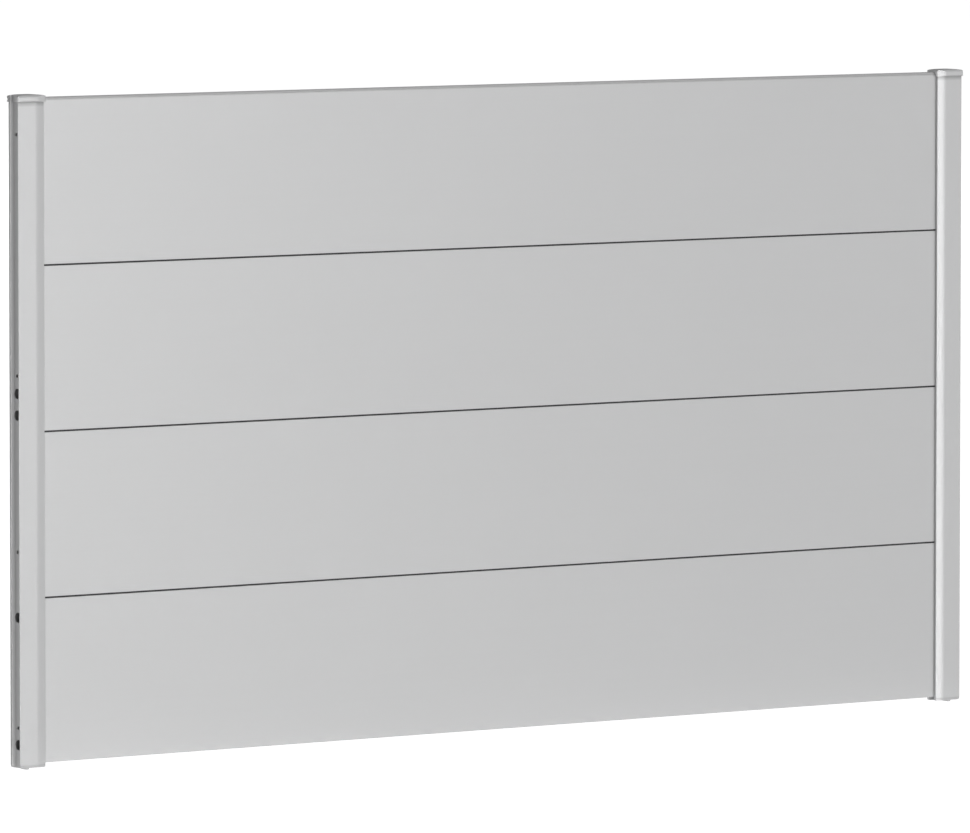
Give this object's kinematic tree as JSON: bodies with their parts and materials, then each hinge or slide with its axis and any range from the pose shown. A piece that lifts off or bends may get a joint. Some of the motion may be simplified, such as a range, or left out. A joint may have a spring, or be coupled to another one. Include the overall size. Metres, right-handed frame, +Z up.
{
  "type": "metal privacy screen",
  "caption": "Free-standing privacy screen bay: wide hollow metal boards stacked with dark seams between two slim hollow channel posts with push-on caps and low oblong feet.",
  "frame": {"origin": "bottom centre of the left foot, on the ground", "axes": "+X along the screen towards the right post, +Y from the front to the back, +Z up"},
  "size_m": [1.6048, 0.0284, 0.9054],
  "materials": {
    "coated_metal": "smooth light grey powder coat, satin",
    "cap_plastic": "moulded plastic in the metal's light grey, matt",
    "dark_strip": "dark moulded strip, matt",
    "foot_plastic": "moulded plastic, light grey, matt, scuffed at the sole",
    "clamp_rubber": "dark rubber, matt"
  },
  "bodies": {
    "root": {"left_post": "coated_metal", "left_top_cap": "cap_plastic", "left_base_plug": "cap_plastic", "left_foot": "foot_plastic", "left_front_clamp": "clamp_rubber", "left_back_clamp": "clamp_rubber", "right_post": "coated_metal", "right_top_cap": "cap_plastic", "right_base_plug": "cap_plastic", "right_foot": "foot_plastic", "right_front_clamp": "clamp_rubber", "right_back_clamp": "clamp_rubber", "board_1": "coated_metal", "board_2": "coated_metal", "board_3": "coated_metal", "board_4": "coated_metal", "seam_strip_1": "dark_strip", "seam_strip_2": "dark_strip", "seam_strip_3": "dark_strip", "top_closing_strip": "coated_metal", "bottom_closing_strip": "dark_strip"}
  },
  "joints": []
}
